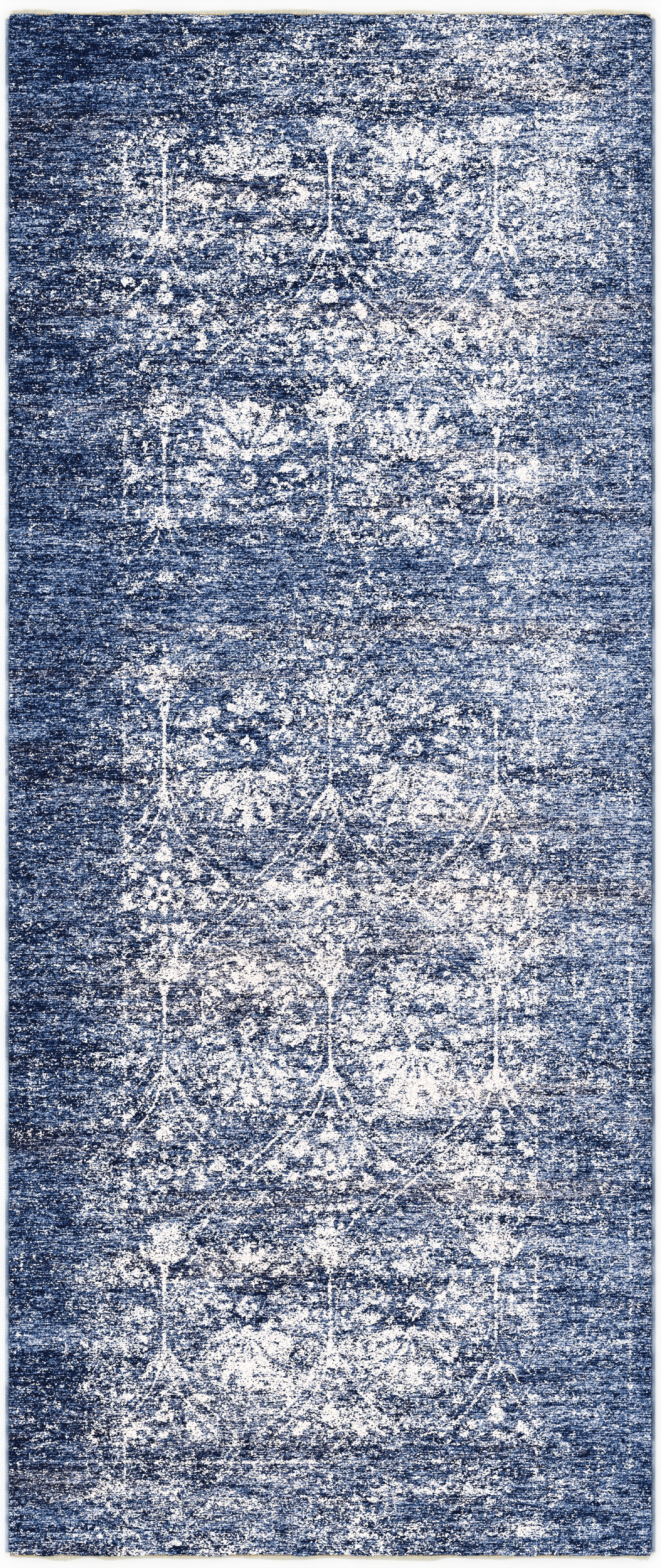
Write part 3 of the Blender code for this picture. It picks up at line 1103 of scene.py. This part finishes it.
def edge_binding(side, name, node, material):
    """One flat yarn wound round and round a long edge."""
    low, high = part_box(node)
    rng = np.random.default_rng(SEED + 3 + side)
    pitch = 1.93 * MM
    steps = 12
    sides = 8
    thickness = 0.9 * MM
    turns = int((high.y - low.y - 2.0 * MM) / pitch)
    turn = np.arange(turns * steps + 1) / steps
    angle = 2 * np.pi * turn
    middle_x = (low.x + high.x) / 2
    middle_z = (low.z + high.z) / 2
    half_x = (high.x - low.x - thickness) / 2
    half_z = (high.z - low.z - thickness) / 2
    boxy = 0.85
    loop_x = np.sign(np.cos(angle)) * np.abs(np.cos(angle)) ** boxy
    loop_z = np.sign(np.sin(angle)) * np.abs(np.sin(angle)) ** boxy
    wander = run_noise(turn, 3.0, rng)
    slack = 1.0 - 0.04 * np.abs(run_noise(turn, 2.0, rng))
    path = points_at(
        middle_x + side * half_x * loop_x * slack,
        low.y + 1.0 * MM + turn * pitch + 0.14 * MM * wander,
        middle_z + half_z * loop_z * slack,
    )
    outwards = points_at(side * np.cos(angle), 0.0, np.sin(angle))
    along = np.array([0.0, 1.0, 0.0])
    cosines, sines = circle(sides)
    width = 0.53 * pitch * (1.0 + 0.03 * run_noise(turn, 1.5, rng))
    points = (
        path[:, None]
        + thickness / 2 * cosines[None, :, None] * outwards[:, None]
        + width[:, None, None] * sines[None, :, None] * along
    )
    if side == LEFT:
        points = points[:, ::-1]
    # Painted shade darkens the edges of each turn, where neighbouring turns meet in creases; on top of
    # each turn, painted light makes the outer half lighter and the half towards the pile darker.
    shade = binding_shade(path[:, 1], side, rng)[:, None] - 0.26 * sines**4
    shade = shade + 0.14 * np.maximum(loop_z, 0.0)[:, None] * loop_x[:, None]
    mesh = Mesh()
    add_long_tube(mesh, points, steps, shade=shade)
    return mesh.make(name, material)


def binding_shade(y, side, rng):
    """How pale the binding yarn is along an edge, in runs of a few centimetres."""
    runs = run_noise(y, 0.032, rng) + 0.5 * run_noise(y, 0.010, rng)
    middle = 0.80 if side == LEFT else 0.60
    return middle + 0.20 * np.tanh(runs)


def edge_core(name, node, material):
    """The three-ply cord inside a binding, which shows at its ends."""
    low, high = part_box(node)
    rings = round((high.y - low.y) / (1.2 * MM)) + 1
    sides = 12
    y = np.linspace(low.y, high.y, rings)
    cosines, sines = circle(sides)
    radius = (high.x - low.x) / 2
    lobed = radius * plied(sides, y - low.y, 9.0 * MM, 3, 0.14)
    tip = 1.0 - 0.35 * hump(np.abs(y), high.y, 0.8 * MM)
    lobed = lobed * tip[:, None]
    middle_x = (low.x + high.x) / 2
    middle_z = (low.z + high.z) / 2
    mesh = Mesh()
    points = points_at(middle_x + lobed * sines, y[:, None], middle_z + lobed * cosines)
    add_long_tube(mesh, points, per_cell=12)
    return mesh.make(name, material)


def warp_ends(end, name, node, material):
    """The cut warp yarns at one end, each a short stub that frays into fine hairs."""
    low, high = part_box(node)
    rng = np.random.default_rng(SEED + 7 + end)
    pitch = 2.4 * MM
    yarns = spread_evenly(low.x + 1.0 * MM, high.x - 1.0 * MM, pitch)
    yarns = yarns + 0.3 * MM * rng.standard_normal(len(yarns))
    rooted = 1.6 * MM
    root_y = low.y - rooted if end == FAR else high.y + rooted
    middle_z = (low.z + high.z) / 2
    mesh = Mesh()
    add_stubs(mesh, yarns, root_y, middle_z, end, rng)
    add_hairs(mesh, yarns, root_y, middle_z, end, rng)
    return mesh.make(name, material)


def add_stubs(mesh, yarns, root_y, middle_z, end, rng):
    """The short, thick part of each cut yarn."""
    count = len(yarns)
    reach = rng.uniform(2.2, 3.1, count) * MM
    shares = np.array([0.0, 0.5, 1.0])
    sway = 0.25 * MM * rng.standard_normal(count)
    paths = points_at(
        yarns[:, None] + sway[:, None] * shares,
        root_y + end * reach[:, None] * shares,
        middle_z + 0.1 * MM * shares,
    )
    radii = np.array([0.55, 0.60, 0.30]) * MM * rng.uniform(0.8, 1.15, count)[:, None]
    add_tubes(mesh, hair_points(paths, radii, sides=6), 0.0, 0.20)


def add_hairs(mesh, yarns, root_y, middle_z, end, rng):
    """Fine fibres that splay out of each yarn's cut end, longer in some places than in others."""
    per_yarn = 22
    roots = np.repeat(yarns, per_yarn)
    count = len(roots)
    local = 1.0 + 0.35 * run_noise(roots, 0.030, rng)
    reach = 1.6 * MM + np.clip(local, 0.4, 1.6) * rng.uniform(1.4, 4.2, count) * MM
    spread = 1.2 * MM * rng.standard_normal(count)
    curl = 1.1 * MM * rng.standard_normal(count)
    lift = 0.4 * MM * rng.standard_normal(count)
    shares = np.array([0.0, 0.35, 0.7, 1.0])
    paths = points_at(
        roots[:, None] + spread[:, None] * shares + curl[:, None] * shares**2,
        root_y + end * reach[:, None] * shares,
        np.clip(middle_z + lift[:, None] * shares, 0.3 * MM, 4.0 * MM),
    )
    radii = np.array([0.16, 0.14, 0.11, 0.05]) * MM * rng.uniform(0.8, 1.2, count)[:, None]
    add_tubes(mesh, hair_points(paths, radii, sides=4), 0.20, 0.99)


def end_stitch(name, node, material):
    """The lock stitch beside the pile: one two-ply thread in a flat running wave."""
    low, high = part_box(node)
    rings = round((high.x - low.x) / (0.7 * MM)) + 1
    sides = 8
    x = np.linspace(low.x, high.x, rings)
    phase = 2 * np.pi * x / (8.0 * MM)
    radius = 0.30 * MM
    middle_y = (low.y + high.y) / 2
    middle_z = (low.z + high.z) / 2
    y = middle_y + 0.15 * MM * np.sin(phase)
    z = middle_z + 0.10 * MM * np.cos(phase)
    cosines, sines = circle(sides)
    lobed = radius * plied(sides, x, 2.8 * MM, 2, 0.15)
    mesh = Mesh()
    points = points_at(x[:, None], y[:, None] + lobed * cosines, z[:, None] + lobed * sines)
    add_long_tube(mesh, points, per_cell=8)
    return mesh.make(name, material)


# ---------------------------------------------------------------- the whole rug


def place_piece(piece, node):
    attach(piece, "root")
    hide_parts(node)
    return piece


def build_rug():
    pile = place_piece(cut_pile(), "pile_field")
    ground = place_piece(woven_ground(), "woven_foundation")
    back = place_piece(ribbed_back(), "latex_back_coat")
    yarn = binding_material()
    cord = cotton_material("core_cotton", (176, 160, 128), (244, 236, 214), (0.0010, 0.0030, 0.0010))
    warp = cotton_material("warp_cotton", (255, 245, 210), (255, 255, 246), (0.0006, 0.0020, 0.0006))
    thread = cotton_material("stitch_thread", (184, 142, 94), (240, 210, 162), (0.0020, 0.0005, 0.0005))
    for side, word in ((LEFT, "left"), (RIGHT, "right")):
        binding = edge_binding(side, f"{word}_edge_binding", f"{word}_serging", yarn)
        place_piece(binding, f"{word}_serging")
        core = edge_core(f"{word}_edge_core", f"{word}_selvedge_cord", cord)
        place_piece(core, f"{word}_selvedge_cord")
    for end, word in ((NEAR, "near"), (FAR, "far")):
        ends = warp_ends(end, f"{word}_warp_ends", f"{word}_warp_fringe", warp)
        place_piece(ends, f"{word}_warp_fringe")
        stitch = end_stitch(f"{word}_end_stitch", f"{word}_lock_stitch", thread)
        place_piece(stitch, f"{word}_lock_stitch")


# ---------------------------------------------------------------- studio


def make_floor():
    reach = 30.0
    mesh = bpy.data.meshes.new("floor")
    corners = [(-reach, -reach, 0.0), (reach, -reach, 0.0), (reach, reach, 0.0), (-reach, reach, 0.0)]
    mesh.from_pydata(corners, [], [(0, 1, 2, 3)])
    mesh.materials.append(floor_material())
    floor = bpy.data.objects.new("floor", mesh)
    floor.location.z = -0.1 * MM
    bpy.context.scene.collection.objects.link(floor)


def make_light():
    world = bpy.data.worlds.new("studio")
    world.use_nodes = True
    background = world.node_tree.nodes["Background"]
    background.inputs["Color"].default_value = (1.0, 1.0, 1.0, 1.0)
    background.inputs["Strength"].default_value = 0.78
    bpy.context.scene.world = world
    lamp = bpy.data.lights.new("softbox", "SUN")
    lamp.energy = 1.17
    lamp.angle = math.radians(50.0)
    softbox = bpy.data.objects.new("softbox", lamp)
    softbox.rotation_euler = (math.radians(-10.0), math.radians(-15.0), 0.0)
    bpy.context.scene.collection.objects.link(softbox)


def make_camera():
    """A long lens straight above, whose frame the rug nearly fills as in the photograph."""
    distance = 8.0
    frame_length = 1.9285
    low, high = CAD_BOUNDS
    lens = bpy.data.cameras.new("camera")
    lens.sensor_width = 36.0
    lens.lens = lens.sensor_width * distance / frame_length
    lens.clip_end = 100.0
    camera = bpy.data.objects.new("camera", lens)
    middle_x = (low.x + high.x) / 2
    middle_y = (low.y + high.y) / 2
    camera.location = (middle_x + 0.4 * MM, middle_y + 1.2 * MM, high.z + distance)
    bpy.context.scene.collection.objects.link(camera)
    bpy.context.scene.camera = camera


build_rug()
make_floor()
make_light()
make_camera()
bpy.context.scene.view_settings.view_transform = "Standard"
